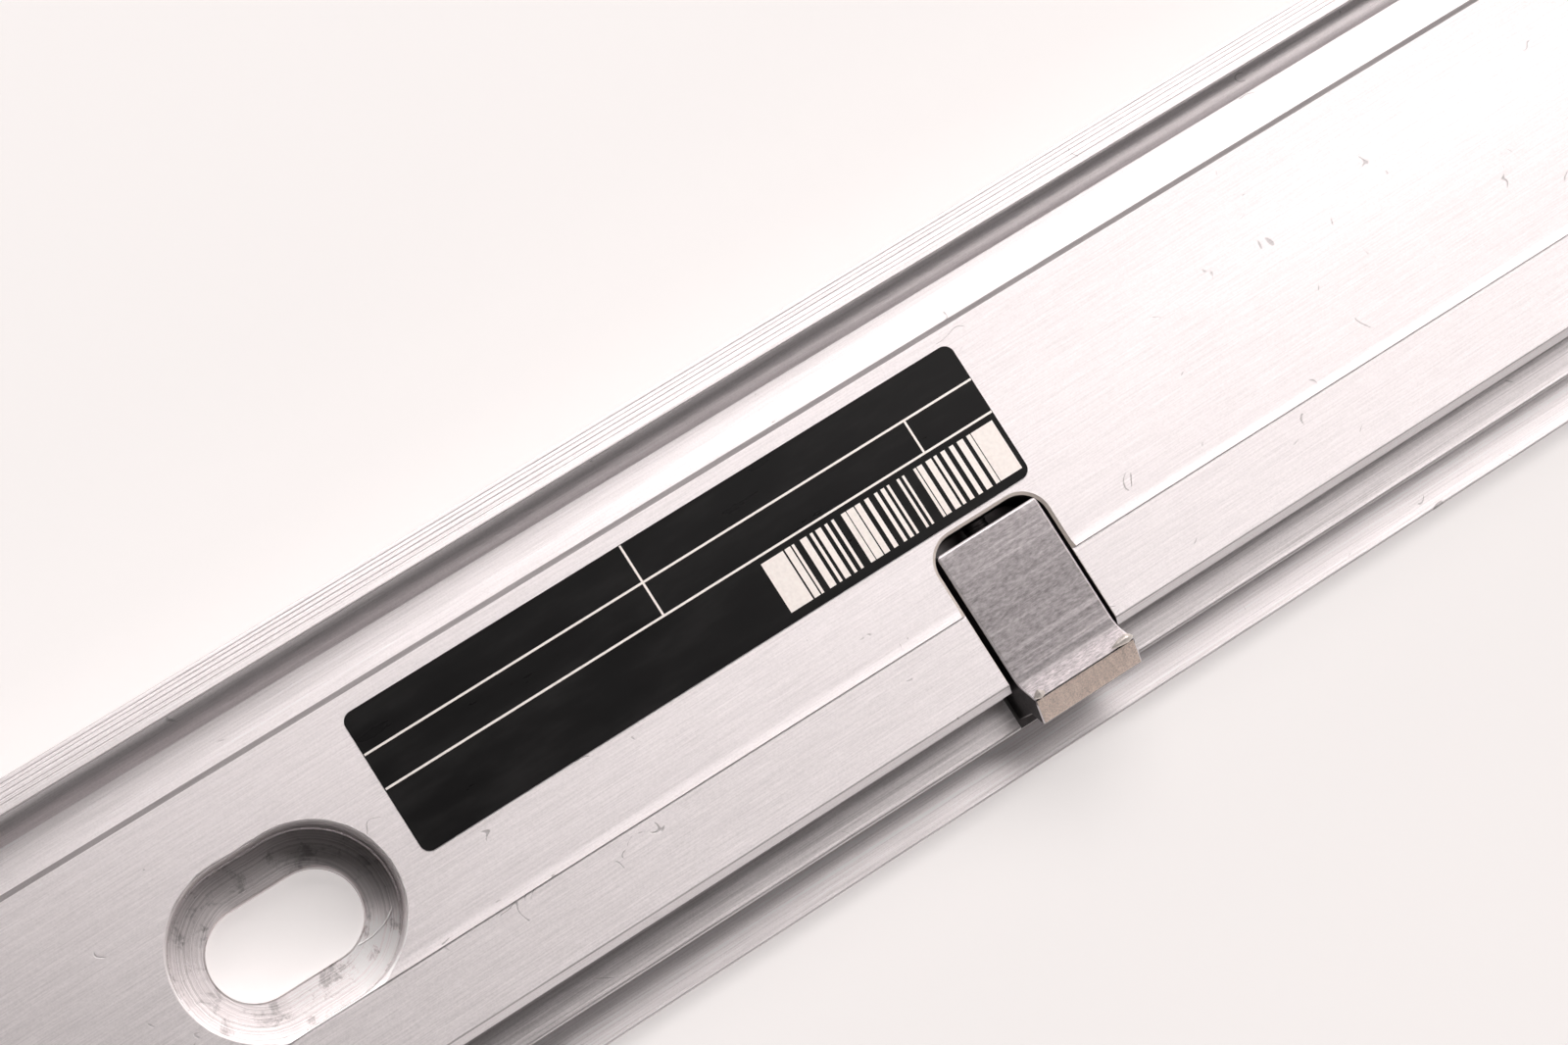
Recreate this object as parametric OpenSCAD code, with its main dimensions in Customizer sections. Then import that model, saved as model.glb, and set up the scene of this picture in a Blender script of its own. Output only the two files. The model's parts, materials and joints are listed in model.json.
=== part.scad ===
// Mounting rail for a slimline sealed linear encoder. The scale's housing hooks under the fixed lip
// on one side and is held by ten sprung steel claws on the other.
// X runs along the rail, +Y points to the fixed lip, +Z out of the bed that the scale lies on.
// The origin is in the middle of the back face. All sizes are in millimetres.

/* [Rail profile] */
// Width over the whole profile
rail_w = 38.2; // [36:0.2:42]
// Height of the bed above the back face
bed_h = 9.5; // [9:0.25:12]
// Distance from the middle line to the bed's edge on the lip side
bed_lip_side = 12.1; // [10:0.1:13]
// Distance from the middle line to the bed's edge on the claw side
bed_claw_side = 6.7; // [5:0.1:8]
// Width of the lowered strip beside the bed, up to its chamfer
strip_w = 5.9; // [5:0.1:6.5]
// How far the strip lies below the bed
strip_drop = 0.15; // [0.05:0.05:0.5]
// Chamfer on the strip's outer edge
strip_chamfer = 0.65; // [0.2:0.05:1]
// Depth of the upper ledge below the bed
ledge_drop = 4; // [3:0.25:4.5]
// Width of the upper ledge
ledge_w = 2.7; // [2:0.1:3.2]
// Thickness of the outer flange under the lower ledge
flange_t = 2; // [1.5:0.25:3]
// Small chamfer on the ledges and the long back edges
edge_chamfer = 0.25; // [0.1:0.05:0.4]

/* [Fixed lip] */
// Height of the lip above the bed
lip_rise = 3.2; // [2.9:0.1:4.5]
// Width of the lip's top
lip_top_w = 2.2; // [1.9:0.1:2.6]
// Wall left outside the round undercut
lip_wall = 1.4; // [1.1:0.1:1.8]
// Radius of the undercut that takes the scale's bead
bead_r = 1.5; // [1.2:0.1:1.6]
// Height of the undercut's middle above the bed
bead_rise = 0.85; // [0.7:0.05:1]
// Depth of the channel floor below the bed
channel_drop = 0.35; // [0.2:0.05:0.6]
// Width of the slope from the bed down to the channel floor
channel_slope_w = 0.4; // [0.2:0.05:0.6]

/* [Screw slots] */
// Distance from one slot to the next
slot_pitch = 200; // [160:5:240]
// Distance from the last slot to the rail's end
end_margin = 30; // [25:1:60]
// Width of the slot for the fixing screw
slot_w = 7; // [6.6:0.1:8]
// Length of the slot over its round ends
slot_l = 12; // [10:0.5:14]
// Width of the counterbore for the screw head
head_w = 13.2; // [12:0.1:14]
// Length of the counterbore over its round ends
head_l = 17.2; // [16:0.2:20]
// Depth of the counterbore below the bed
head_depth = 6.5; // [6:0.25:7]
// Chamfer round the counterbore's mouth
head_chamfer = 0.35; // [0.1:0.05:0.6]

/* [Claw pockets] */
// Distance of a pocket's middle from its nearest slot
claw_from_slot = 58; // [50:1:65]
// Width of a pocket
pocket_w = 10; // [9.6:0.1:11]
// Depth of a pocket below the bed
pocket_depth = 5; // [4.9:0.1:5.6]
// Distance from the middle line to a pocket's closed end
pocket_end = 0.95; // [0.5:0.05:1.5]
// Radius of a pocket's closed corners, which stop the claw
pocket_corner_r = 2.7; // [2.5:0.1:3]

/* [Claws] */
// Width of a claw
claw_w = 8.8; // [8.4:0.1:9.2]
// Thickness of the claw's arm and nose
arm_t = 2.4; // [2:0.1:2.7]
// Length of the claw's flat top
arm_l = 10.3; // [10:0.1:10.8]
// Inner radius of the bend up to the nose
bend_r = 1.5; // [1.2:0.1:2]
// Angle of the bend
bend_angle = 52; // [40:1:60]
// Height of the nose's crest above the flat top
nose_rise = 2; // [1.6:0.1:2.4]
// Height of the whole claw under its flat top
claw_h = 4.85; // [4.7:0.05:4.9]
// Radius of the claw's upright corners
claw_corner_r = 0.15; // [0.1:0.05:0.25]
// How far the claw's flat top lies below the bed
claw_top_drop = 0.05; // [0.02:0.01:0.1]

/* [Claw screws and springs] */
// Diameter of the screw's shank
shank_d = 2; // [1.8:0.05:2.1]
// Diameter of the screw's head
screw_head_d = 3.2; // [3:0.05:3.3]
// Length of the screw's head
screw_head_l = 1.6; // [1.2:0.1:2]
// Width across the flats of the socket in the head
socket_w = 1.3; // [1:0.1:1.5]
// Depth of the socket
socket_depth = 0.9; // [0.6:0.1:1]
// Length of the shank that is held in the rail
screw_grip = 5; // [3:0.5:7]
// Depth of the screw's axis below the claw's flat top
screw_axis_depth = 2.5; // [2.4:0.05:2.6]
// How far the head stands back inside the claw
screw_head_inset = 1; // [0.5:0.1:1.4]
// Wall at the claw's inner end, which the spring pushes on
claw_end_wall = 2.5; // [2:0.1:3]
// Thickness of the spring wire
wire_d = 0.4; // [0.35:0.01:0.42]
// Turns in a spring
spring_turns = 7; // [5:1:8]

/* [Nameplate] */
// Length of the nameplate
plate_l = 52.2; // [40:0.1:60]
// Height of the nameplate
plate_h = 11.4; // [8:0.1:11.6]
// Thickness of the nameplate
plate_t = 0.15; // [0.1:0.05:0.3]
// Radius of the nameplate's corners
plate_corner_r = 0.8; // [0.4:0.1:2]
// Distance from the slot's middle to the nameplate's middle
plate_from_slot = 37; // [36:0.1:40]
// Distance from the middle line to the nameplate's middle
plate_off_middle = 5.15; // [5:0.05:5.6]
// Turn of the nameplate, which is stuck on by hand
plate_turn = 0.2; // [-0.5:0.1:0.5]

/* [Fits] */
// Gap between a claw and the corners that stop it
stop_gap = 0.03; // [0.02:0.01:0.1]
// Gap round the screw's head and between the head and the spring's bore
head_clearance = 0.1; // [0.05:0.01:0.12]
// Gap round the shank where the claw slides on it
guide_clearance = 0.06; // [0.03:0.01:0.1]
// Gap round the shank where the rail holds it
grip_clearance = 0.01; // [0.005:0.005:0.02]
// Gap between the spring and what it pushes on or runs in
spring_clearance = 0.05; // [0.02:0.01:0.08]

/* [Hidden] */
$fn = 96;
WIRE_SIDES = 5;
STEPS_PER_TURN = 10;
CUT = 1;
BAYS = 5;
CLAW_COUNT = 2 * BAYS;

rail_l = BAYS * slot_pitch + 2 * end_margin;
half_w = rail_w / 2;
slot_x = [for (i = [0:BAYS]) (i - BAYS / 2) * slot_pitch];
// Each bay between two slots has one claw near each of its slots.
claw_x = [for (i = [0:BAYS - 1]) each [slot_x[i] + claw_from_slot, slot_x[i + 1] - claw_from_slot]];

lip_top_z = bed_h + lip_rise;
lip_y = half_w - lip_top_w;
channel_z = bed_h - channel_drop;
strip_y = -bed_claw_side - strip_w;
strip_z = bed_h - strip_drop;
ledge_wall_y = strip_y - strip_chamfer;
ledge_y = ledge_wall_y - ledge_w;
ledge_z = bed_h - ledge_drop;

pocket_floor_z = bed_h - pocket_depth;
claw_top_z = bed_h - claw_top_drop;
claw_bottom_z = claw_top_z - claw_h;
// The claw's sharp inner corners rest on the round corners of its pocket.
corner_reach = claw_w / 2 - (pocket_w / 2 - pocket_corner_r);
stop_r = pocket_corner_r - stop_gap;
claw_in_y = -pocket_end - pocket_corner_r + sqrt(pow(stop_r, 2) - pow(corner_reach, 2));
bend_y = claw_in_y - arm_l;
nose_straight = (nose_rise - bend_r * (1 - cos(bend_angle))) / sin(bend_angle);
bend_across = [-sin(bend_angle), -cos(bend_angle)];
bend_end = [bend_y, claw_top_z + bend_r] + bend_r * bend_across;
nose_crest = bend_end + nose_straight * [-cos(bend_angle), sin(bend_angle)];
nose_tip = nose_crest + arm_t * bend_across;
under_bend = bend_end + arm_t * bend_across;
claw_front_y = under_bend[0];

screw_z = claw_top_z - screw_axis_depth;
head_bore_d = screw_head_d + 2 * head_clearance;
screw_tip_y = -pocket_end + screw_grip;
head_outer_y = claw_front_y + screw_head_inset;
head_under_y = head_outer_y + screw_head_l;
spring_seat_y = claw_in_y - claw_end_wall;
spring_od = head_bore_d - 2 * spring_clearance;

// A bar along X with the given outline in Y and Z.
module bar_along_x(length) {
    translate([-length / 2, 0, 0]) rotate([90, 0, 90]) linear_extrude(length) children();
}

// A straight-sided hole with round ends, along X.
module slot_hole(width, length, low_z, high_z) {
    reach = (length - width) / 2;
    translate([0, 0, low_z]) linear_extrude(high_z - low_z) {
        for (side = [-1, 1]) translate([side * reach, 0]) circle(d = width);
        square([2 * reach, width], center = true);
    }
}

// The chamfer round the mouth of such a hole.
module slot_chamfer(width, length, size, mouth_z) {
    reach = (length - width) / 2;
    low_r = width / 2;
    high_r = low_r + size + CUT;
    for (side = [-1, 1])
        translate([side * reach, 0, mouth_z - size]) cylinder(h = size + CUT, r1 = low_r, r2 = high_r);
    bar_along_x(2 * reach) polygon([
        [-low_r, mouth_z - size], [low_r, mouth_z - size],
        [high_r, mouth_z + CUT], [-high_r, mouth_z + CUT]
    ]);
}

module rail_outline() {
    difference() {
        polygon([
            [-half_w + edge_chamfer, 0], [half_w - edge_chamfer, 0], [half_w, edge_chamfer],
            [half_w, lip_top_z - edge_chamfer], [half_w - edge_chamfer, lip_top_z],
            [lip_y + edge_chamfer, lip_top_z], [lip_y, lip_top_z - edge_chamfer],
            [lip_y, channel_z], [bed_lip_side + channel_slope_w, channel_z],
            [bed_lip_side, bed_h], [-bed_claw_side, bed_h], [-bed_claw_side - strip_drop, strip_z],
            [strip_y, strip_z], [ledge_wall_y, strip_z - strip_chamfer], [ledge_wall_y, ledge_z],
            [ledge_y + edge_chamfer, ledge_z], [ledge_y, ledge_z - edge_chamfer], [ledge_y, flange_t],
            [-half_w + edge_chamfer, flange_t], [-half_w, flange_t - edge_chamfer], [-half_w, edge_chamfer]
        ]);
        translate([half_w - lip_wall - bead_r, bed_h + bead_rise]) circle(r = bead_r);
    }
}

// A pocket, open to the claw side, whose closed end has the round corners that stop the claw.
module pocket() {
    inner_w = pocket_w - 2 * pocket_corner_r;
    open_y = -half_w - CUT;
    corner_y = -pocket_end - pocket_corner_r;
    translate([0, 0, pocket_floor_z]) linear_extrude(bed_h - pocket_floor_z + CUT) {
        for (side = [-1, 1]) translate([side * inner_w / 2, corner_y]) circle(r = pocket_corner_r);
        translate([-inner_w / 2, corner_y]) square([inner_w, pocket_corner_r]);
        translate([-pocket_w / 2, open_y]) square([pocket_w, corner_y - open_y]);
    }
}

// The hole in the pocket's end wall that holds the claw's screw.
module screw_hole() {
    translate([0, -pocket_end - CUT, screw_z]) rotate([-90, 0, 0])
        cylinder(h = screw_grip + 2 * CUT, d = shank_d + 2 * grip_clearance);
}

module rail() {
    color("gainsboro") difference() {
        bar_along_x(rail_l) rail_outline();
        for (x = slot_x) translate([x, 0, 0]) {
            slot_hole(slot_w, slot_l, -CUT, bed_h);
            slot_hole(head_w, head_l, bed_h - head_depth, bed_h + CUT);
            slot_chamfer(head_w, head_l, head_chamfer, bed_h);
        }
        for (x = claw_x) translate([x, 0, 0]) {
            pocket();
            screw_hole();
        }
    }
}

// The claw seen from the side: a flat arm whose end bends up to a nose, all on a solid body.
module claw_outline() {
    difference() {
        polygon([
            [claw_in_y, claw_bottom_z], [claw_in_y, claw_top_z], [bend_y, claw_top_z],
            bend_end, nose_crest, nose_tip, under_bend, [claw_front_y, claw_bottom_z]
        ]);
        translate([bend_y, claw_top_z + bend_r]) circle(r = bend_r);
    }
}

module claw() {
    color("darkgray") difference() {
        bar_along_x(claw_w) claw_outline();
        for (side = [-1, 1]) translate([side * claw_w / 2, claw_in_y, claw_bottom_z - CUT])
            linear_extrude(claw_h + 2 * CUT) difference() {
                square(2 * claw_corner_r, center = true);
                translate([-side * claw_corner_r, -claw_corner_r]) circle(r = claw_corner_r);
            }
        translate([0, claw_front_y - CUT, screw_z]) rotate([-90, 0, 0])
            cylinder(h = spring_seat_y - claw_front_y + CUT, d = head_bore_d);
        translate([0, spring_seat_y - CUT, screw_z]) rotate([-90, 0, 0])
            cylinder(h = claw_end_wall + 2 * CUT, d = shank_d + 2 * guide_clearance);
    }
}

module claw_screw() {
    translate([0, 0, screw_z]) rotate([-90, 0, 0]) {
        translate([0, 0, head_under_y]) cylinder(h = screw_tip_y - head_under_y, d = shank_d);
        difference() {
            translate([0, 0, head_outer_y]) cylinder(h = screw_head_l, d = screw_head_d);
            translate([0, 0, head_outer_y - CUT])
                cylinder(h = socket_depth + CUT, d = socket_w / cos(30), $fn = 6);
        }
    }
}

module claw_screws() {
    color("dimgray") for (x = claw_x) translate([x, 0, 0]) claw_screw();
}

// A round wire wound along Y from the screw's head to the claw's end wall.
module spring() {
    coil_r = (spring_od - wire_d) / 2;
    start_y = head_under_y + wire_d / 2 + spring_clearance;
    end_y = spring_seat_y - wire_d / 2 - spring_clearance;
    steps = spring_turns * STEPS_PER_TURN;
    rings = [for (i = [0:steps]) for (j = [0:WIRE_SIDES - 1])
        let (
            turn = 360 * i / STEPS_PER_TURN,
            around = 360 * j / WIRE_SIDES,
            r = coil_r + wire_d / 2 * cos(around)
        )
        [r * cos(turn), start_y + (end_y - start_y) * i / steps + wire_d / 2 * sin(around), r * sin(turn)]
    ];
    sides = [for (i = [0:steps - 1]) for (j = [0:WIRE_SIDES - 1])
        let (a = i * WIRE_SIDES + j, b = i * WIRE_SIDES + (j + 1) % WIRE_SIDES)
        each [[a, b, b + WIRE_SIDES], [a, b + WIRE_SIDES, a + WIRE_SIDES]]
    ];
    first_end = [for (j = [WIRE_SIDES - 1:-1:0]) j];
    last_end = [for (j = [0:WIRE_SIDES - 1]) steps * WIRE_SIDES + j];
    color("silver") translate([0, 0, screw_z])
        polyhedron(rings, concat(sides, [first_end, last_end]), convexity = 10);
}

module nameplate() {
    inner = [plate_l - 2 * plate_corner_r, plate_h - 2 * plate_corner_r];
    color([0.05, 0.05, 0.06]) translate([slot_x[0] + plate_from_slot, plate_off_middle, bed_h])
        rotate(plate_turn) linear_extrude(plate_t) {
            for (x = [-1, 1], y = [-1, 1])
                translate([x * inner[0] / 2, y * inner[1] / 2]) circle(r = plate_corner_r);
            square([plate_l, inner[1]], center = true);
            square([inner[0], plate_h], center = true);
        }
}

rail();
nameplate();
claw_screws();
for (i = [1:CLAW_COUNT]) {
    translate([claw_x[i - 1], 0, 0]) claw();
    translate([claw_x[i - 1], 0, 0]) spring();
}
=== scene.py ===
"""The looks of an encoder mounting rail: its extruded profile with milled slots and pockets,
the sprung claws with their screws and springs, and the nameplate.
Everything is in metres, with X along the rail, +Y to the fixed lip and +Z out of the bed."""

import functools
import json
import math

import bmesh
import bpy
from bpy.props import FloatProperty, FloatVectorProperty, IntProperty, PointerProperty
from mathutils import Matrix, Vector


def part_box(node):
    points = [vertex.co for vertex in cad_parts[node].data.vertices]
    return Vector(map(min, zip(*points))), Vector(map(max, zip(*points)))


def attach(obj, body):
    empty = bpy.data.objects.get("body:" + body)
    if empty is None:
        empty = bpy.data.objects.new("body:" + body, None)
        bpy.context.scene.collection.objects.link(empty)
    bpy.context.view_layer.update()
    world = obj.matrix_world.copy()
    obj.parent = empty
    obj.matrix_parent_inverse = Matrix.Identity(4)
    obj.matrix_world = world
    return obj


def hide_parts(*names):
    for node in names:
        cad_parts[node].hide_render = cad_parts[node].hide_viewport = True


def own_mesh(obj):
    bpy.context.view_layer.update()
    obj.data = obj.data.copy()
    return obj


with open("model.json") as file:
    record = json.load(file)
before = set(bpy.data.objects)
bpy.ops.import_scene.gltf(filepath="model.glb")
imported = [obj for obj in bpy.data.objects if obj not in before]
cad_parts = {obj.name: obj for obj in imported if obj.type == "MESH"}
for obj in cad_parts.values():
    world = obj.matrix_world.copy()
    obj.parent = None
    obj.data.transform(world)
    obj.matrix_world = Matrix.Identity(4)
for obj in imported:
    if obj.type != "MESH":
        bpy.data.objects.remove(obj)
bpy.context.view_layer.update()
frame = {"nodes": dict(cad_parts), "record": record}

bl_info = {
    "name": "Encoder mounting rail",
    "version": (1, 0, 0),
    "blender": (4, 5, 0),
    "location": "3D Viewport > Sidebar > Mounting rail",
    "description": "Makes the profile, claws, claw screws, springs and nameplate of a mounting rail",
    "category": "Object",
}

MM = 0.001
RECORD = frame["record"]
RAIL_BODY = "rail_body"
CLAWS = sorted((name for name in frame["nodes"] if name.startswith("claw_") and name[5:].isdigit()),
               key=lambda name: int(name[5:]))
WARM = (1.0, 0.95, 0.935)


def middle(node):
    low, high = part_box(node)
    return (low + high) / 2


def slot_mounts():
    return [mount for mount in RECORD["mounts"] if mount["kind"] == "bolt_pattern"]


def slot_places():
    """The middle of each screw slot along the rail."""
    reach = [mount["dims"]["spacing_x_mm"] * MM / 2 for mount in slot_mounts()]
    return sorted(reach + [-x for x in reach])


RAIL_LOW, RAIL_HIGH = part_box("rail")
PLATE_LOW, PLATE_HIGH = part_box("nameplate")
SLOT_DIMS = slot_mounts()[0]["dims"]
CLAW_X = [middle(name).x for name in CLAWS]
HALF_W = RAIL_HIGH.y
BED_Z = PLATE_LOW.z
LIP_Z = RAIL_HIGH.z
BED_MM = BED_Z / MM
COUNTERBORE_DEPTH = 6.5 * MM
COUNTERBORE_REACH = 2.0 * MM
POCKET_DEPTH = 5.0 * MM
BEND = math.radians(52)


def length(name, description, default, low=0.0, high=0.1):
    return FloatProperty(name=name, description=description, default=default, min=low, max=high,
                         precision=5, unit="LENGTH", subtype="DISTANCE")


def colour(name, description, default):
    return FloatVectorProperty(name=name, description=description, default=default, size=3,
                               min=0.0, max=1.0, subtype="COLOR")


def share(name, description, default):
    return FloatProperty(name=name, description=description, default=default, min=0.0, max=1.0,
                         subtype="FACTOR")


def strength(name, description, default):
    return FloatProperty(name=name, description=description, default=default, min=0.0)


def number(name, description, default, low, high):
    return IntProperty(name=name, description=description, default=default, min=low, max=high)


class RailLook(bpy.types.PropertyGroup):
    edge_round: length("Edge rounding", "Radius of the profile's outer edges", 0.2 * MM)
    corner_fillet: length("Corner fillet", "Radius in the profile's inner corners", 0.2 * MM)
    step_round: length("Step rounding", "Radius of the fine step beside the bed", 0.05 * MM)
    edge_swell: length("Edge swell", "Height of the soft swelling along the bed's edge", 0.07 * MM)
    lip_fall: length("Lip fall", "How much lower the lip's top is along its outer edge", 0.11 * MM)
    ridge_depth: length("Ridge depth", "Depth of the fine drawn lines on the lip's top", 0.035 * MM)
    mouth_chamfer: length("Mouth chamfer", "Chamfer round each counterbore", 0.16 * MM)
    pocket_chamfer: length("Pocket chamfer", "Chamfer round each pocket", 0.23 * MM)
    pocket_play: length("Pocket play", "How far the pockets sit beside their claws",
                        0.08 * MM, -0.1 * MM, 0.1 * MM)
    slot_deburr: length("Slot deburr", "Small chamfer on the slot's edges", 0.14 * MM)
    metal: colour("Aluminium", "Colour of the anodised aluminium", (0.88, 0.842, 0.852))
    milled: colour("Milled aluminium", "Colour of the milled faces", (0.93, 0.885, 0.89))
    # The pockets' deburred rims take this light colour as a painted highlight.
    rim: colour("Deburred rim", "Colour of the deburred rims of the pockets", (0.97, 0.88, 0.8))
    grain: share("Grain", "Strength of the drawn grain along the rail", 0.5)


class ClawLook(bpy.types.PropertyGroup):
    edge_round: length("Edge rounding", "Radius of the claw's tumbled edges", 0.22 * MM)
    corner: length("Corner radius", "Radius of the arm's two back corners", 0.4 * MM)
    bead: length("Bead", "Radius of the small beads at the crest's ends", 0.36 * MM)
    metal: colour("Steel", "Colour of the brushed steel", (0.325, 0.305, 0.312))
    sheared: colour("Sheared steel", "Colour of the sheared end face", (0.95, 0.81, 0.73))
    # The beads' light colour and low metal are a painted highlight on the burnished steel.
    bright: colour("Burnished steel", "Colour of the burnished beads", (0.98, 0.91, 0.85))


class FastenerLook(bpy.types.PropertyGroup):
    shank: length("Shank", "Diameter of the claw screw's shank", 2.0 * MM)
    head: length("Head", "Diameter of the claw screw's head", 3.2 * MM)
    head_height: length("Head height", "Height of the claw screw's head", 1.6 * MM)
    socket: length("Socket", "Width of the socket across its flats", 1.3 * MM)
    thread_pitch: length("Thread pitch", "Pitch of the claw screw's thread", 0.4 * MM)
    wire: length("Wire", "Diameter of the spring wire", 0.4 * MM)
    turns: number("Turns", "Working turns of a spring", 6, 2, 12)
    screw_metal: colour("Screw steel", "Colour of the blackened screws", (0.16, 0.155, 0.15))
    spring_metal: colour("Spring steel", "Colour of the spring wire", (0.62, 0.6, 0.57))


class PlateLook(bpy.types.PropertyGroup):
    corner: length("Corner radius", "Radius of the film's corners", 0.8 * MM)
    turn: FloatProperty(name="Turn", description="Turn of the film on the bed",
                        default=math.radians(0.2), subtype="ANGLE", unit="ROTATION")
    rule: length("Rule width", "Width of the printed rules", 0.17 * MM)
    bars: number("Bars", "Number of plain bars in the bar field", 24, 4, 60)
    seed: number("Seed", "Seed of the bars' widths", 4, 0, 99)
    film: colour("Film", "Colour of the black film", (0.006, 0.0058, 0.0062))
    print: colour("Print", "Colour of the printed rules", (1.0, 0.94, 0.9))


class StageLook(bpy.types.PropertyGroup):
    floor_size: length("Floor size", "Side of the floor", 16.0, 1.0, 20.0)
    floor: colour("Floor", "Colour of the table", (0.7, 0.685, 0.68))
    floor_glow: share("Floor glow", "Light that the camera and reflections see on the floor", 0.46)
    lens: FloatProperty(name="Lens", description="Focal length of the camera in millimetres",
                        default=79.35, min=20.0, max=300.0)
    key: strength("Key light", "Power of the key light in watts", 29.2)
    fill: strength("Fill light", "Power of the fill light in watts", 1.6)
    glint: strength("Glint light", "Power of the small light for glints in watts", 0.5)
    low: strength("Low light", "Power of the low side light in watts", 24.0)
    world: strength("Overhead", "Strength of the even light from above", 0.1)
    horizon: strength("Horizon", "Strength of the even light from the sides", 0.75)


# ---------------------------------------------------------------- meshes

def new_object(name, data, *materials):
    made = bpy.data.objects.new(name, data)
    for material in materials:
        data.materials.append(material)
    bpy.context.scene.collection.objects.link(made)
    return made


def drop(*objects):
    for item in objects:
        data = item.data
        bpy.data.objects.remove(item)
        if data is not None and data.users == 0:
            bpy.data.meshes.remove(data)


def mesh_from(name, vertices, faces, flip_check=True):
    mesh = bpy.data.meshes.new(name)
    mesh.from_pydata([tuple(v) for v in vertices], [], faces)
    if flip_check:
        work = bmesh.new()
        work.from_mesh(mesh)
        bmesh.ops.recalc_face_normals(work, faces=work.faces)
        work.to_mesh(mesh)
        work.free()
    return mesh


def loft(name, rings):
    """A closed solid through rings of equally many points, with a cap on each end."""
    count = len(rings[0])
    vertices = [point for ring in rings for point in ring]
    faces = []
    for level in range(len(rings) - 1):
        base = level * count
        for i in range(count):
            j = (i + 1) % count
            faces.append((base + i, base + j, base + count + j, base + count + i))
    faces.append(tuple(range(count))[::-1])
    last = (len(rings) - 1) * count
    faces.append(tuple(range(last, last + count)))
    return mesh_from(name, vertices, faces)


def joined(name, meshes):
    work = bmesh.new()
    for mesh in meshes:
        work.from_mesh(mesh)
        bpy.data.meshes.remove(mesh)
    whole = bpy.data.meshes.new(name)
    work.to_mesh(whole)
    work.free()
    return whole


def evaluated(item):
    """The object's mesh with its modifiers applied."""
    bpy.context.view_layer.update()
    graph = bpy.context.evaluated_depsgraph_get()
    return bpy.data.meshes.new_from_object(item.evaluated_get(graph), depsgraph=graph)


def bake(item):
    """Puts what the modifiers give in place of the object's mesh."""
    mesh = evaluated(item)
    old = item.data
    item.modifiers.clear()
    item.data = mesh
    if old.users == 0:
        bpy.data.meshes.remove(old)
    return item


def cut(item, cutter_mesh, materials, operation="DIFFERENCE"):
    """Cuts the mesh's closed shapes out of the object, or adds them, with their own materials."""
    cutter = new_object("cutter", cutter_mesh, *materials)
    modifier = item.modifiers.new("cut", "BOOLEAN")
    modifier.operation = operation
    modifier.solver = "EXACT"
    modifier.material_mode = "TRANSFER"
    modifier.object = cutter
    bake(item)
    drop(cutter)


def smooth(item, degrees):
    """Smooth shading on curved parts, with the flat faces kept flat."""
    item.data.shade_smooth()
    item.data.set_sharp_from_angle(angle=math.radians(degrees))
    weighted = item.modifiers.new("weighted", "WEIGHTED_NORMAL")
    weighted.keep_sharp = True
    weighted.weight = 80
    bake(item)


def arc(centre, radius, start, end, steps):
    """Points on a circle, with the angles in degrees."""
    angles = [math.radians(start + (end - start) * i / steps) for i in range(steps + 1)]
    return [(centre[0] + radius * math.cos(t), centre[1] + radius * math.sin(t)) for t in angles]


def rounded(corners, step=18.0):
    """An outline whose corners (across, up, radius) are rounded; a radius of 0 stays sharp."""
    points = []
    count = len(corners)
    for i, (y, z, radius) in enumerate(corners):
        here = Vector((y, z))
        back = Vector(corners[i - 1][:2]) - here
        ahead = Vector(corners[(i + 1) % count][:2]) - here
        if radius <= 0:
            points.append((y, z))
            continue
        half = back.angle(ahead) / 2
        reach = radius / math.tan(half)
        reach = min(reach, 0.48 * back.length, 0.48 * ahead.length)
        radius = reach * math.tan(half)
        centre = here + (back.normalized() + ahead.normalized()).normalized() * radius / math.sin(half)
        first = here + back.normalized() * reach - centre
        last = here + ahead.normalized() * reach - centre
        turn = math.atan2(first.x * last.y - first.y * last.x, first.dot(last))
        steps = max(2, math.ceil(abs(math.degrees(turn)) / step))
        for k in range(steps + 1):
            angle = turn * k / steps
            points.append((centre.x + first.x * math.cos(angle) - first.y * math.sin(angle),
                           centre.y + first.x * math.sin(angle) + first.y * math.cos(angle)))
    return points


def stadium(radius, reach, x, z, steps=40):
    """A ring with straight sides and round ends around (x, 0), at height z."""
    right = arc((x + reach, 0), radius, -90, 90, steps)
    left = arc((x - reach, 0), radius, 90, 270, steps)
    return [(px, py, z) for px, py in right + left]


# ---------------------------------------------------------------- nodes

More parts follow.
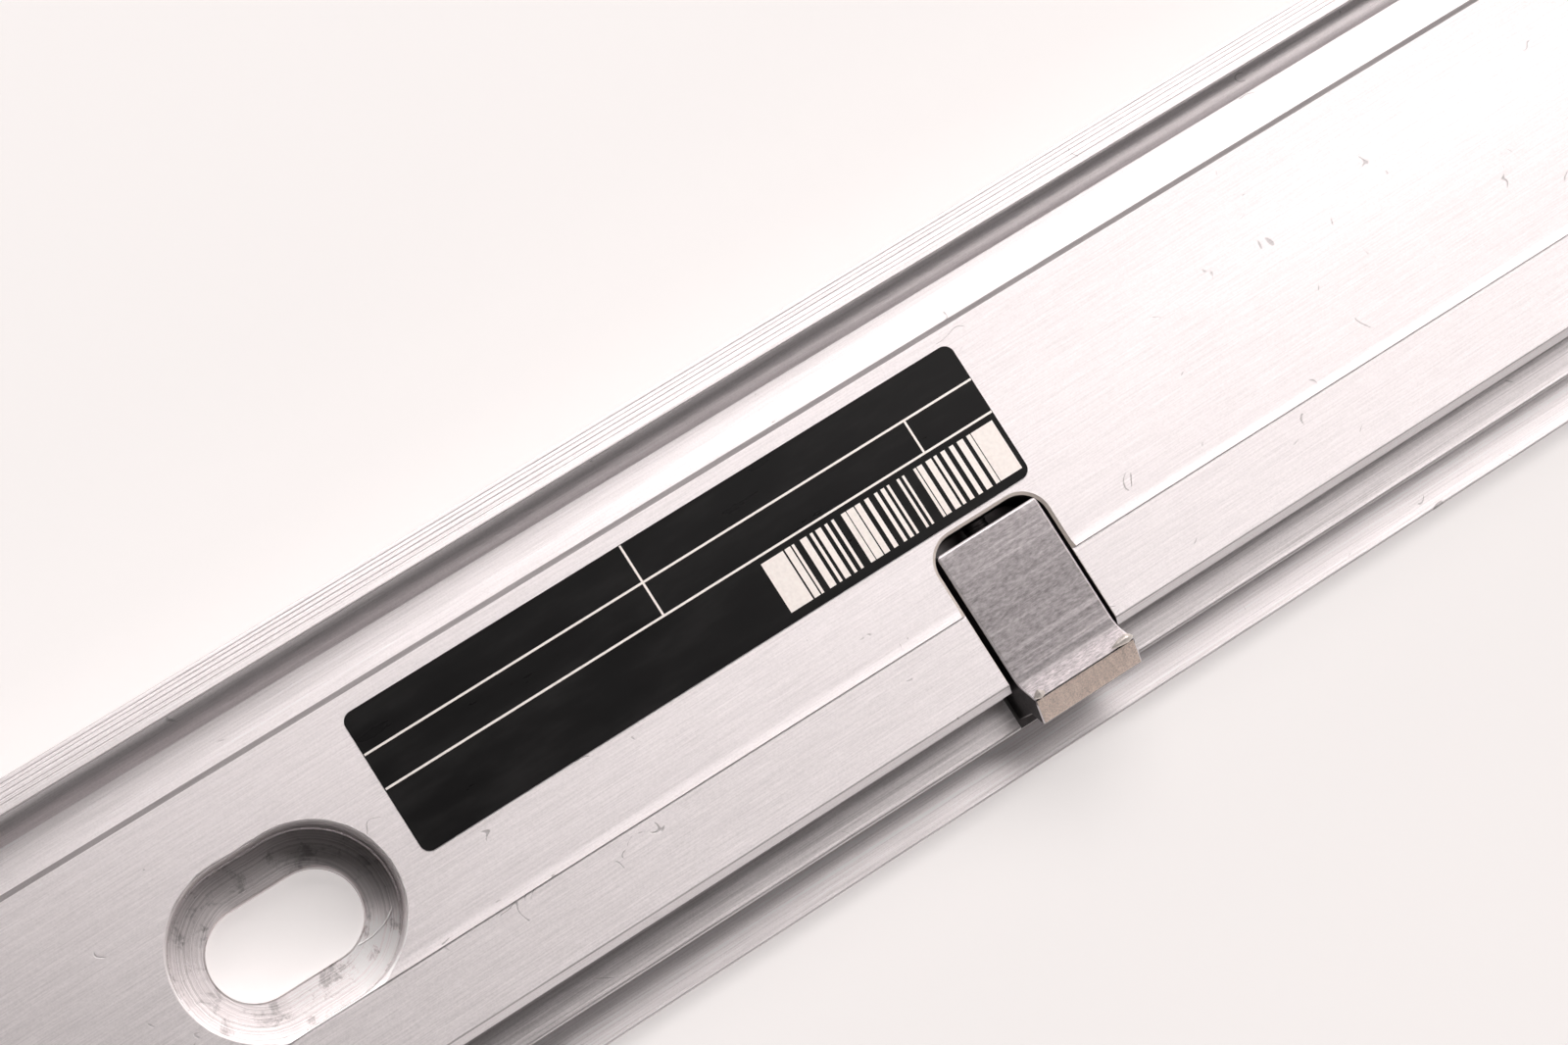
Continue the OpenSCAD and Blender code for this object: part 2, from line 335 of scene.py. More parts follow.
class Nodes:
    """Builds a node tree. Inputs are given as values or as the sockets that feed them."""

    def __init__(self, tree):
        self.tree = tree

    def put(self, kind, settings=None, inputs=None):
        made = self.tree.nodes.new(kind)
        for name, value in (settings or {}).items():
            setattr(made, name, value)
        for key, value in (inputs or {}).items():
            if isinstance(value, bpy.types.NodeSocket):
                self.tree.links.new(value, made.inputs[key])
            else:
                made.inputs[key].default_value = value
        return made.outputs

    def maths(self, operation, *values):
        return self.put("ShaderNodeMath", {"operation": operation}, dict(enumerate(values)))[0]

    def chain(self, operation, values):
        total = values[0]
        for value in values[1:]:
            total = self.maths(operation, total, value)
        return total

    def add(self, *values):
        return self.chain("ADD", values)

    def less(self, first, second):
        return self.maths("SUBTRACT", first, second)

    def times(self, *values):
        return self.chain("MULTIPLY", values)

    def most(self, *values):
        return self.chain("MAXIMUM", values)

    def least(self, *values):
        return self.chain("MINIMUM", values)

    def raised(self, value, mask, amount):
        """The value, with the amount added where the mask is on."""
        return self.maths("MULTIPLY_ADD", mask, amount, value)

    def shaded(self, value, mask, amount):
        """The value, times 1 plus the amount where the mask is on."""
        return self.times(value, self.raised(1.0, mask, amount))

    def vectors(self, operation, *values, output=0):
        return self.put("ShaderNodeVectorMath", {"operation": operation}, dict(enumerate(values)))[output]

    def stretched(self, place, *factors):
        return self.vectors("MULTIPLY", place, factors)

    def distance(self, vector):
        return self.vectors("LENGTH", vector, output=1)

    def xyz(self, x=0.0, y=0.0, z=0.0):
        return self.put("ShaderNodeCombineXYZ", None, {0: x, 1: y, 2: z})[0]

    def parts(self, vector):
        return self.put("ShaderNodeSeparateXYZ", None, {0: vector})

    def normal(self):
        return self.put("ShaderNodeNewGeometry")["Normal"]

    def span(self, value, low, high, to_low=0.0, to_high=1.0, kind="SMOOTHSTEP"):
        """Maps a value softly from one range to another and clamps it."""
        return self.put("ShaderNodeMapRange", {"interpolation_type": kind},
                        {0: value, 1: low, 2: high, 3: to_low, 4: to_high})[0]

    def ramp(self, value, to_low, to_high, low=0.3, high=0.7):
        """Maps a noise's middle range evenly to another range."""
        return self.span(value, low, high, to_low, to_high, "LINEAR")

    def band(self, value, low, full, end, high):
        """A mask that is on from full to end, and off below low and above high."""
        return self.times(self.span(value, low, full), self.span(value, high, end))

    def noise(self, place, scale=1.0, detail=2.0, roughness=0.5, distortion=0.0):
        return self.put("ShaderNodeTexNoise", None, {
            "Vector": place, "Scale": scale, "Detail": detail, "Roughness": roughness,
            "Distortion": distortion})[0]

    def line_noise(self, value, scale, detail, roughness):
        return self.put("ShaderNodeTexNoise", {"noise_dimensions": "1D"}, {
            "W": value, "Scale": scale, "Detail": detail, "Roughness": roughness})[0]

    def mixed(self, factor, first, second, blend="MIX"):
        return self.put("ShaderNodeMix", {"data_type": "RGBA", "blend_type": blend},
                        {0: factor, 6: first, 7: second})[2]

    def scaled(self, tint, value):
        """A colour made lighter or darker by a value around 1."""
        grey = self.put("ShaderNodeCombineColor", None, {0: value, 1: value, 2: value})[0]
        return self.mixed(1.0, tint, grey, "MULTIPLY")


class Finish(Nodes):
    """The nodes of one material around its shader; its place is the Object coordinates in millimetres."""

    def __init__(self, made, base):
        super().__init__(made.node_tree)
        self.shader = made.node_tree.nodes["Principled BSDF"]
        self.base = (*base, 1.0)
        self.metres = self.put("ShaderNodeTexCoord")["Object"]

    @functools.cached_property
    def place(self):
        return self.stretched(self.metres, 1000.0, 1000.0, 1000.0)

    def feed(self, label, socket):
        self.tree.links.new(socket, self.shader.inputs[label])

    def tint(self, tone):
        self.feed("Base Color", self.scaled(self.base, tone))

    def bump(self, height, amount, distance):
        self.feed("Normal", self.put("ShaderNodeBump", None, {
            "Height": height, "Strength": amount, "Distance": distance})[0])

    def spread_along(self, amount):
        """Stretches the shine across lines that run along the rail."""
        self.shader.inputs["Anisotropic"].default_value = amount
        self.feed("Tangent", self.vectors("CROSS_PRODUCT", self.normal(), (1.0, 0.0, 0.0)))

    def clouded(self, scale, detail, tones, roughs, amount, distance):
        """A plain finish whose tone, roughness and height follow one noise."""
        cloud = self.noise(self.place, scale, detail)
        self.tint(self.ramp(cloud, *tones))
        self.feed("Roughness", self.ramp(cloud, *roughs))
        self.bump(cloud, amount, distance * MM)


def shared(name, inputs, outputs):
    """Makes a function into a shader node group that materials use; an input without a value is a place."""
    def wrap(fill):
        def build():
            tree = bpy.data.node_groups.new(name, "ShaderNodeTree")
            for label, default in inputs.items():
                kind = "NodeSocketVector" if default is None else "NodeSocketFloat"
                socket = tree.interface.new_socket(label, in_out="INPUT", socket_type=kind)
                if default is not None:
                    socket.default_value = default
            for label in outputs:
                tree.interface.new_socket(label, in_out="OUTPUT", socket_type="NodeSocketFloat")
            source = tree.nodes.new("NodeGroupInput")
            target = tree.nodes.new("NodeGroupOutput")
            for label, socket in zip(outputs, fill(Nodes(tree), source.outputs)):
                tree.links.new(socket, target.inputs[label])
            return tree

        def use(n, **values):
            given = {label.replace("_", " "): value for label, value in values.items()}
            tree = bpy.data.node_groups.get(name) or build()
            return n.put("ShaderNodeGroup", {"node_tree": tree}, {"Place": n.place, **given})
        return use
    return wrap


@shared("metal_grain", {"Place": None, "Line width": 0.08, "Line length": 12.0},
        ("Fine", "Broad", "Lines"))
def grain(n, given):
    """Fine lines along X, as drawing, brushing or grinding leaves them."""
    across = n.maths("DIVIDE", 1.0, given["Line width"])
    along = n.maths("DIVIDE", 1.0, given["Line length"])
    place = n.vectors("MULTIPLY", given["Place"], n.xyz(along, across, across))
    broad = n.noise(n.stretched(place, 0.35, 0.13, 0.13))
    return n.noise(place, 1.0, 3.0, 0.65), broad, n.span(broad, 0.60, 0.72)


@shared("handling_marks", {"Place": None, "Density": 0.35, "Size": 0.03, "Rarity": 0.55}, ("Mask",))
def dents(n, given):
    """Small dents and specks that handling leaves, as a mask."""
    spots = n.put("ShaderNodeTexVoronoi", {"feature": "F1", "voronoi_dimensions": "3D"},
                  {"Vector": given["Place"], "Scale": given["Density"], "Randomness": 1.0})
    near = n.raised(spots["Distance"], n.noise(given["Place"], 6.0), 0.05)
    pick = n.put("ShaderNodeSeparateColor", None, {0: spots["Color"]})[0]
    size = n.times(given["Size"], n.ramp(pick, 0.2, 1.0, 0.55, 1.0))
    dot = n.span(n.less(near, n.add(size, 0.025)), 0.0, -0.02)
    return n.times(dot, n.maths("GREATER_THAN", pick, given["Rarity"])),


@shared("hairline_scratches", {"Place": None}, ("Mask",))
def hairs(n, given):
    """Seldom, short and slightly curved hairline scratches, as a mask."""
    way = n.noise(given["Place"], 0.35, 1.0, distortion=0.5)
    line = n.span(n.maths("ABSOLUTE", n.less(way, 0.5)), 0.012, 0.004)
    where = n.noise(n.vectors("ADD", given["Place"], (31.0, 17.0, 5.0)), 0.3, 3.0)
    return n.times(line, n.span(where, 0.64, 0.68)),


@shared("cutter_marks", {"Place": None, "Pitch": 200.0, "Reach": 2.0, "Mark x": 4.6, "Mark y": 1.2,
                         "Mark radius": 4.6}, ("Rings", "Cloud", "Mark", "Dull", "Clear"))
def cutter(n, given):
    """Marks of the cutter on the floor and wall of each counterbore, around its own two ends, with masks for a
    painted lit side and a painted shaded side.
    """
    x, y, _ = n.parts(given["Place"])
    half = n.times(given["Pitch"], 0.5)
    local = n.maths("WRAP", n.add(x, half), half, n.times(half, -1.0))
    inside = n.least(n.most(local, n.times(given["Reach"], -1.0)), given["Reach"])
    from_end = n.xyz(n.less(local, inside), y)
    turned = n.vectors("NORMALIZE", from_end)
    sides = []
    for bearing in (35, -55):
        way = (math.cos(math.radians(bearing)), math.sin(math.radians(bearing)), 0.0)
        sides.append(n.vectors("DOT_PRODUCT", turned, way, output=1))
    cloud = n.noise(given["Place"], 0.6, 8.0, 0.7, 0.45)
    rings = n.line_noise(n.raised(n.distance(from_end), cloud, 0.28), 6.0, 4.0, 0.75)
    from_mark = n.xyz(n.less(local, given["Mark x"]), n.less(y, given["Mark y"]))
    ring = n.maths("ABSOLUTE", n.less(n.distance(from_mark), given["Mark radius"]))
    mark = n.times(n.span(ring, 0.09, 0.02), n.span(y, -2.2, -3.2), n.span(local, 3.2, 4.6))
    return rings, cloud, mark, *sides


# ---------------------------------------------------------------- finishes

def finish(name, tint_of, metallic, roughness):
    """Makes a function that fills a shader into one that gives its material, which is made once."""
    def wrap(fill):
        def give(look):
            made = bpy.data.materials.get(name)
            if made:
                return made
            made = bpy.data.materials.new(name)
            made.use_nodes = True
            n = Finish(made, getattr(look, tint_of))
            made.diffuse_color = n.base
            n.shader.inputs["Base Color"].default_value = n.base
            n.shader.inputs["Metallic"].default_value = metallic
            n.shader.inputs["Roughness"].default_value = roughness
            fill(n, look)
            return made
        return give
    return wrap


@finish("anodised_aluminium", "metal", 1.0, 0.5)
def anodised_metal(n, look):
    """The drawn and anodised profile, with its lines along the rail."""
    lines = grain(n, Line_width=0.12, Line_length=4.5)
    drawn = grain(n, Line_width=0.2, Line_length=60.0)["Fine"]
    worn = n.most(dents(n, Density=0.22, Size=0.06, Rarity=0.6)["Mask"], hairs(n)["Mask"])
    slow = n.noise(n.stretched(n.place, 0.012, 0.12, 0.12))
    blast = n.noise(n.place, 7.0)
    # The bed, the strip and the lip's top are fine milled; the slope, the channel and the ledges are as drawn.
    _, y, z = n.parts(n.place)
    slope = n.band(y, 12.06, 12.12, 12.48, 12.54)
    channel = n.times(n.span(y, 12.5, 13.2), n.span(z, 12.4, 12.0))
    ledges = n.times(n.span(y, -13.1, -13.3), n.span(z, 0.2, 0.4))
    lip = n.span(z, 12.3, 12.5)
    raw = n.most(ledges, lip, n.times(channel, 0.5))
    upper = n.times(ledges, n.span(z, 3.0, 4.0))
    lower = n.times(ledges, n.span(z, 3.0, 2.4))
    chamfer = n.band(y, -13.3, -13.2, -12.75, -12.58)
    painted_step_shade = n.band(y, -12.76, -12.7, -12.64, -12.58)
    # The back face is painted darker, as painted shade against the bright floor that it reflects; it is also
    # as drawn, greyer than the milled faces.
    back = n.times(n.span(y, 18.95, 19.05), n.span(z, 12.3, 12.1))
    tone = n.add(n.ramp(lines["Fine"], 0.84, 1.03), n.ramp(slow, -0.03, 0.02), n.ramp(blast, -0.05, 0.05))
    # The chamfer is painted lighter, as a painted highlight, and the upper ledge a little darker, as painted
    # shade under the wall above it.
    tone = n.add(tone, n.less(n.times(chamfer, 0.2), n.times(upper, 0.1)), n.span(y, -4.0, 12.0, -0.02, 0.12))
    # The lower ledge is painted lighter, to lift the painted-over shade that the steps above cast on it; the
    # drawn faces get their own grain.
    tone = n.add(n.raised(tone, lower, 0.2), n.times(n.ramp(drawn, -0.2, 0.14), raw))
    tone = n.raised(tone, worn, -0.34)
    # The slope is painted darker, as painted shade in its narrow groove, and the strip's edge gets a thin
    # painted shade line.
    for mask, amount in ((slope, -0.54), (painted_step_shade, -0.4), (back, -0.34)):
        tone = n.shaded(tone, mask, amount)
    n.tint(tone)
    # The lower ledge is also less metallic, which lifts it further in that shade.
    n.feed("Metallic", n.raised(1.0, lower, -0.12))
    rough = n.raised(n.ramp(lines["Fine"], 0.44, 0.52, 0.25, 0.75), lip, -0.02)
    rough = n.raised(rough, n.most(ledges, channel, slope), -0.08)
    # The cutter that fine milled the bed left it a little more matt towards the lip.
    matt = n.times(n.span(y, -2.0, 12.0), n.span(z, 9.4, 9.45))
    n.feed("Roughness", n.raised(rough, matt, 0.05))
    height = n.raised(n.raised(lines["Fine"], lines["Broad"], 0.6), n.times(drawn, raw), 1.6)
    n.bump(n.raised(height, worn, -1.5), look.grain, 0.014 * MM)
    n.spread_along(0.72)


@finish("milled_counterbore", "milled", 1.0, 0.4)
def counterbore_metal(n, look):
    """The milled floor and wall of a counterbore."""
    first, second = slot_places()[:2]
    marks = cutter(n, Pitch=(second - first) / MM, Reach=COUNTERBORE_REACH / MM)
    cloud = marks["Cloud"]
    tone = n.add(n.span(cloud, 0.34, 0.49, 0.64, 1.02), n.ramp(marks["Rings"], -0.24, 0.18))
    # One side of the floor is painted lighter, as painted light, and one side darker, as painted shade, the
    # same in every counterbore.
    tone = n.times(tone, n.span(marks["Clear"], 0.7, 0.95, 0.95, 1.22))
    high = n.parts(n.place)[2]
    wall = n.times(n.span(n.parts(n.normal())[2], 0.3, 0.1), 1.05)
    tone = n.shaded(n.most(tone, wall), n.span(marks["Dull"], 0.2, 0.95), -0.48)
    tone = n.most(tone, n.span(high, BED_MM - 0.3, BED_MM - 0.1))
    tone = n.raised(tone, dents(n, Density=0.9, Size=0.03, Rarity=0.6)["Mask"], -0.25)
    # The cutter's corner leaves a fillet between the floor and the wall; a painted highlight runs along it,
    # lighter and less metallic so that every lamp lights it.
    floor = BED_MM - COUNTERBORE_DEPTH / MM
    corner = n.band(high, floor + 0.005, floor + 0.03, floor + 0.15, floor + 0.19)
    n.tint(n.most(tone, n.times(corner, 1.1)))
    n.feed("Metallic", n.raised(1.0, corner, -0.7))
    rough = n.raised(n.span(cloud, 0.35, 0.65, 0.36, 0.52), marks["Mark"], -0.1)
    n.feed("Roughness", n.raised(rough, corner, -0.18))
    n.bump(n.raised(n.raised(marks["Rings"], marks["Mark"], 2.5), cloud, 2.0), 0.6, 0.03 * MM)


@finish("milled_pocket", "milled", 1.0, 0.38)
def pocket_metal(n, look):
    """The milled walls and floor of a pocket, with the fine steps of the cutter's side."""
    steps = n.noise(n.stretched(n.place, 0.6, 0.6, 9.0), 1.0, 4.0, 0.65)
    cloud = n.noise(n.place, 0.9, 4.0, distortion=0.4)
    tone = n.add(n.span(cloud, 0.35, 0.65, 0.78, 1.0), n.ramp(steps, -0.08, 0.04))
    # The pocket is painted darker towards its floor, as painted shade in its deep part.
    high = n.parts(n.place)[2]
    tone = n.times(tone, n.span(high, BED_MM - POCKET_DEPTH / MM, BED_MM - 0.6, 0.3, 0.7))
    # The rim is the real deburred chamfer; its light colour and low metal are a painted highlight along it.
    rim = n.span(high, BED_MM - 0.27, BED_MM - 0.19)
    n.feed("Base Color", n.mixed(rim, n.scaled(n.base, tone), (*look.rim, 1.0)))
    n.feed("Metallic", n.raised(1.0, rim, -0.75))
    n.feed("Roughness", n.ramp(steps, 0.3, 0.45))
    n.bump(n.add(steps, cloud), 0.4, 0.015 * MM)


@finish("sawn_end", "milled", 1.0, 0.42)
def sawn_metal(n, look):
    """The sawn ends of the rail, with the arcs of the blade."""
    blade_middle = (0.0, 60.0, 130.0)
    away = n.distance(n.stretched(n.vectors("SUBTRACT", n.place, blade_middle), 0.0, 1.0, 1.0))
    blade = n.line_noise(away, 3.2, 5.0, 0.75)
    n.tint(n.add(n.ramp(blade, 0.82, 1.0), n.ramp(n.noise(n.place, 0.3, 3.0), -0.06, 0.04)))
    n.feed("Roughness", n.ramp(blade, 0.36, 0.5))
    n.bump(blade, 0.6, 0.03 * MM)


@finish("ground_claw_steel", "metal", 1.0, 0.4)
def claw_metal(n, look):
    """Spring steel strip, ground across the claw, with painted highlights on its edges and its bend."""
    ground = grain(n, Line_width=0.07, Line_length=12.0)
    fine, broad, lines = ground["Fine"], ground["Broad"], ground["Lines"]
    tumbled = n.noise(n.stretched(n.place, 2.0, 5.0, 5.0), 1.0, 4.0, 0.72)
    _, y, z = n.parts(n.place)
    across, outward, upward = n.parts(n.normal())
    sideways = n.maths("ABSOLUTE", across)
    tone = n.raised(n.ramp(fine, 0.84, 1.12, 0.25, 0.75), lines, 0.32)
    tone = n.add(tone, n.ramp(broad, -0.12, 0.12), n.ramp(tumbled, -0.34, 0.34))
    tone = n.raised(tone, dents(n, Density=1.1, Size=0.05, Rarity=0.6)["Mask"], 0.25)
    tone = n.add(tone, n.ramp(y, -0.07, 0.06, -12.0, -3.0))
    front = n.span(y, -11.0, -12.0)
    bend_highlight = n.times(n.span(outward, 0.48, 0.8), front, n.span(upward, 0.25, 0.45))
    upper = n.span(upward, 0.2, 0.45)
    side = n.times(n.span(sideways, 0.1, 0.3), upper)
    back = n.times(n.span(outward, 0.1, 0.3), upper, n.span(y, -5.0, -4.0))
    edge_highlight = n.most(side, back)
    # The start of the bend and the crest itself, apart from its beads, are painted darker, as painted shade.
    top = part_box(CLAWS[0])[1].z / MM
    crest = n.times(n.span(z, top - 0.4, top - 0.25), n.span(outward, 0.5, 0.35))
    turn = n.times(n.span(outward, 0.05, 0.2), front, n.span(outward, 0.62, 0.3))
    # The bend is painted lighter, as a painted highlight.
    tone = n.shaded(n.shaded(tone, turn, -0.5), bend_highlight, 1.6)
    # The top edges at the sides and the back are painted lighter and made less metallic, as painted
    # highlights.
    tone = n.raised(tone, edge_highlight, 1.9)
    # The strip's cut sides are painted darker, as painted shade in the narrow gap beside them.
    tone = n.shaded(tone, n.span(sideways, 0.9, 0.98), -0.65)
    n.tint(n.shaded(tone, crest, -0.75))
    n.feed("Metallic", n.raised(1.0, edge_highlight, -0.45))
    rough = n.raised(n.ramp(fine, 0.35, 0.43, 0.25, 0.75), lines, -0.05)
    n.feed("Roughness", n.raised(rough, bend_highlight, 0.16))
    n.bump(n.add(fine, broad, tumbled), 0.5, 0.012 * MM)
    n.spread_along(0.6)


@finish("burnished_bead", "bright", 0.45, 0.36)
def bead_metal(n, look):
    """The burnished beads that bending squeezes out of the steel, painted light as a painted highlight."""
    n.clouded(5.0, 4.0, (0.8, 1.08), (0.3, 0.42), 0.3, 0.01)


@finish("sheared_claw_steel", "sheared", 0.85, 0.6)
def sheared_metal(n, look):
    """The claw's sheared end: smooth where the punch went in and torn below."""
    torn = n.noise(n.place, 7.0, 6.0, 0.7)
    pull = n.noise(n.stretched(n.place, 2.0, 0.8, 0.8), 1.0, 3.0)
    n.tint(n.add(n.ramp(torn, 0.68, 1.2), n.ramp(pull, -0.08, 0.08)))
    n.feed("Roughness", n.ramp(torn, 0.5, 0.68))
    n.bump(n.add(torn, pull), 0.7, 0.03 * MM)


@finish("blackened_screw", "screw_metal", 1.0, 0.35)
def screw_metal(n, look):
    n.clouded(2.5, 5.0, (0.7, 1.3), (0.28, 0.45), 0.3, 0.01)


@finish("spring_wire", "spring_metal", 1.0, 0.28)
def spring_metal(n, look):
    n.clouded(4.0, 4.0, (0.85, 1.08), (0.22, 0.38), 0.25, 0.006)


@finish("black_film", "film", 0.0, 0.32)
def film_plastic(n, look):
    """Matt film with a little dust and the haze of a wiping cloth."""
    wiped = n.noise(n.stretched(n.place, 0.12, 0.5, 0.5), 1.0, 5.0, 0.6)
    haze = n.times(n.span(wiped, 0.45, 0.75), 0.009)
    lift = n.raised(haze, dents(n, Density=0.55, Size=0.03, Rarity=0.62)["Mask"], 0.06)
    n.feed("Base Color", n.mixed(lift, n.base, (0.75, 0.72, 0.7, 1.0)))
    n.feed("Roughness", n.span(wiped, 0.3, 0.75, 0.27, 0.4))
    n.shader.inputs["Specular IOR Level"].default_value = 0.2
    n.bump(n.noise(n.place, 1.6, 4.0), 0.2, 0.02 * MM)


@finish("pale_print", "print", 0.6, 0.45)
def print_ink(n, look):
    n.clouded(3.5, 5.0, (0.93, 1.03), (0.4, 0.52), 0.2, 0.01)
    n.spread_along(0.7)


@finish("pale_table", "floor", 0.0, 0.6)
def table_top(n, look):
    """The pale table; the camera and reflections see it a little brighter than the lamps make it."""
    n.tint(n.ramp(n.noise(n.metres, 14.0, 5.0), 0.985, 1.0))
    path = n.put("ShaderNodeLightPath")
    seen = n.most(path["Is Camera Ray"], n.most(path["Is Glossy Ray"], path["Is Transmission Ray"]))
    n.shader.inputs["Emission Color"].default_value = (*WARM, 1.0)
    n.feed("Emission Strength", n.times(seen, look.floor_glow))


# ---------------------------------------------------------------- rail

def profile(look):
    """The rail's outline across its length, as (Y, Z)."""
    edge, fillet, step = look.edge_round, look.corner_fillet, look.step_round
    lip_y = HALF_W - 2.2 * MM
    channel_z = BED_Z - 0.35 * MM
    strip_z = BED_Z - 0.15 * MM
    bed_edge = -6.7 * MM
    strip_edge = bed_edge - 5.97 * MM
    wall_y = strip_edge - 0.58 * MM
    ledge_y = wall_y - 2.7 * MM
    ledge_z = BED_Z - 4 * MM
    flange_z = 2 * MM
    hollow = (HALF_W - 2.9 * MM, BED_Z + 0.85 * MM)
    hollow_r = 1.5 * MM
    top_angle = math.degrees(math.acos((lip_y - hollow[0]) / hollow_r))
    floor_angle = math.degrees(math.asin((channel_z - hollow[1]) / hollow_r))
    undercut = arc(hollow, hollow_r, top_angle, -180 - floor_angle, 26)
    ridge = look.ridge_depth
    ridges = []
    for from_edge, width in ((0.36, 0.14), (0.62, 0.12), (0.95, 0.16), (1.3, 0.12), (1.62, 0.14)):
        y = HALF_W - from_edge * MM
        half = width * MM / 2
        top = LIP_Z - look.lip_fall * (y - lip_y) / (HALF_W - lip_y)
        ridges += [(y + half, top, 0), (y + half * 0.3, top - ridge, 0),
                   (y - half * 0.3, top - ridge, 0), (y - half, top, 0)]
    corners = [
        (-HALF_W, 0, edge), (HALF_W, 0, edge), (HALF_W, LIP_Z - look.lip_fall, edge), *ridges,
        (lip_y, LIP_Z, edge * 0.3), *[(y, z, 0) for y, z in undercut],
        (14.0 * MM, channel_z, 0), (12.5 * MM, channel_z + 0.05 * MM, step), (12.1 * MM, BED_Z, step),
        (bed_edge + 0.8 * MM, BED_Z, 0), (bed_edge + 0.5 * MM, BED_Z + look.edge_swell * 0.2, 0),
        (bed_edge, BED_Z + look.edge_swell, step * 0.2),
        (bed_edge - 0.005 * MM, strip_z - 0.03 * MM, step * 0.2),
        (bed_edge - 0.14 * MM, strip_z - 0.006 * MM, 0), (bed_edge - 0.32 * MM, strip_z, 0),
        (strip_edge, strip_z, step), (wall_y, strip_z - 0.65 * MM, step),
        (wall_y, ledge_z, fillet), (ledge_y, ledge_z, edge * 1.2),
        (ledge_y, flange_z, fillet), (-HALF_W, flange_z, edge),
    ]
    return rounded(corners)


def inset(outline, amount):
    """The outline moved inwards, point by point."""
    moved = []
    count = len(outline)
    for i, here in enumerate(outline):
        back = Vector(outline[i - 1])
        ahead = Vector(outline[(i + 1) % count])
        way = (ahead - back).normalized()
        moved.append((here[0] - way.y * amount, here[1] + way.x * amount))
    return moved


def rail_body_mesh(look):
    """The plain bar: the outline drawn out along X, with its ends lightly deburred."""
    outline = profile(look)
    deburr = 0.06 * MM
    small = inset(outline, deburr)
    low, high = RAIL_LOW.x, RAIL_HIGH.x
    sections = 106
    stations = [(low, small)]
    for i in range(sections + 1):
        stations.append((low + deburr + (high - low - 2 * deburr) * i / sections, outline))
    stations.append((high, small))
    return loft("rail_profile", [[(x, y, z) for y, z in ring] for x, ring in stations])


def slot_cutter(look, x):
    """A screw slot with its counterbore, from under the back face to above the bed."""
    slot_r = SLOT_DIMS["hole_r_mm"] * MM
    slot_reach = SLOT_DIMS["slot_length_mm"] * MM / 2 - slot_r
    head_r, head_reach = 6.6 * MM, COUNTERBORE_REACH
    floor_z = BED_Z - COUNTERBORE_DEPTH
    deburr, mouth, corner = look.slot_deburr, look.mouth_chamfer, 0.18 * MM
    chamfer_slope = 0.36
    over = 1.0 * MM
    levels = [
        (slot_r + deburr + over, slot_reach, -over), (slot_r, slot_reach, deburr),
        (slot_r, slot_reach, floor_z - deburr), (slot_r + deburr, slot_reach, floor_z),
        (head_r - corner, head_reach, floor_z),
        (head_r - corner * 0.3, head_reach, floor_z + corner * 0.3),
        (head_r, head_reach, floor_z + corner), (head_r, head_reach, BED_Z - mouth * chamfer_slope),
        (head_r + mouth + over / chamfer_slope, head_reach, BED_Z + over),
    ]
    return loft("slot", [stadium(r, reach, x, z, 48) for r, reach, z in levels])


def pocket_cutter(look, x):
    """A pocket for a claw, open to the claw side, with the stop corners at its closed end."""
    half, end_y, corner = 4.77 * MM, -1.1 * MM, 2.2 * MM
    floor_z = BED_Z - POCKET_DEPTH
    out_y = -HALF_W - 2 * MM
    root, mouth, over = 0.15 * MM, look.pocket_chamfer, 1.0 * MM
    chamfer_slope = 0.8

    def ring(grow, z):
        round_r = corner + grow
        right = arc((x + half - corner, end_y - corner), round_r, 0, 90, 16)
        left = arc((x - half + corner, end_y - corner), round_r, 90, 180, 16)
        points = [(x + half + grow, out_y)] + right + left + [(x - half - grow, out_y)]
        return [(px, py, z) for px, py in points]

    return loft("pocket", [ring(-root, floor_z), ring(-root * 0.3, floor_z + root * 0.3),
                           ring(0.0, floor_z + root), ring(0.0, BED_Z - mouth * chamfer_slope),
                           ring(mouth + over / chamfer_slope, BED_Z + over)])


def rod(name, radii, x, z, steps):
    """A turned shape along Y, through pairs of (Y, radius)."""
    rings = []
    for y, radius in radii:
        rings.append([(x + radius * math.cos(2 * math.pi * i / steps), y,
                       z + radius * math.sin(2 * math.pi * i / steps)) for i in range(steps)])
    return loft(name, rings)


def screw_axis():
    low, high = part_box("claw_screws")
    return (low.z + high.z) / 2


class MakePiece:
    """What all the operators share."""
    bl_options = {"REGISTER", "UNDO"}


class RAILKIT_OT_make_rail(MakePiece, bpy.types.Operator):
    """Make the extruded rail with its slots, counterbores and pockets"""
    bl_idname = "railkit.make_rail"
    bl_label = "Make rail"

    def execute(self, context):
        look = context.scene.railkit_rail
        rail = new_object("dressed_rail", rail_body_mesh(look), anodised_metal(look), sawn_metal(look))
        for face in rail.data.polygons:
            if abs(face.normal.x) > 0.5:
                face.material_index = 1
        cut(rail, joined("slots", [slot_cutter(look, x) for x in slot_places()]), [counterbore_metal(look)])
        pockets = [pocket_cutter(look, x - look.pocket_play) for x in CLAW_X]
        cut(rail, joined("pockets", pockets), [pocket_metal(look)])
        axis_z = screw_axis()
        holes = [rod("hole", [(-1.6 * MM, 1.9 * MM), (-0.7 * MM, 1.01 * MM), (4.2 * MM, 1.01 * MM)],
                     x, axis_z, 24) for x in CLAW_X]
        cut(rail, joined("holes", holes), [pocket_metal(look)])
        smooth(rail, 30)
        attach(rail, RAIL_BODY)
        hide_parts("rail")
        return {"FINISHED"}


# ---------------------------------------------------------------- claws

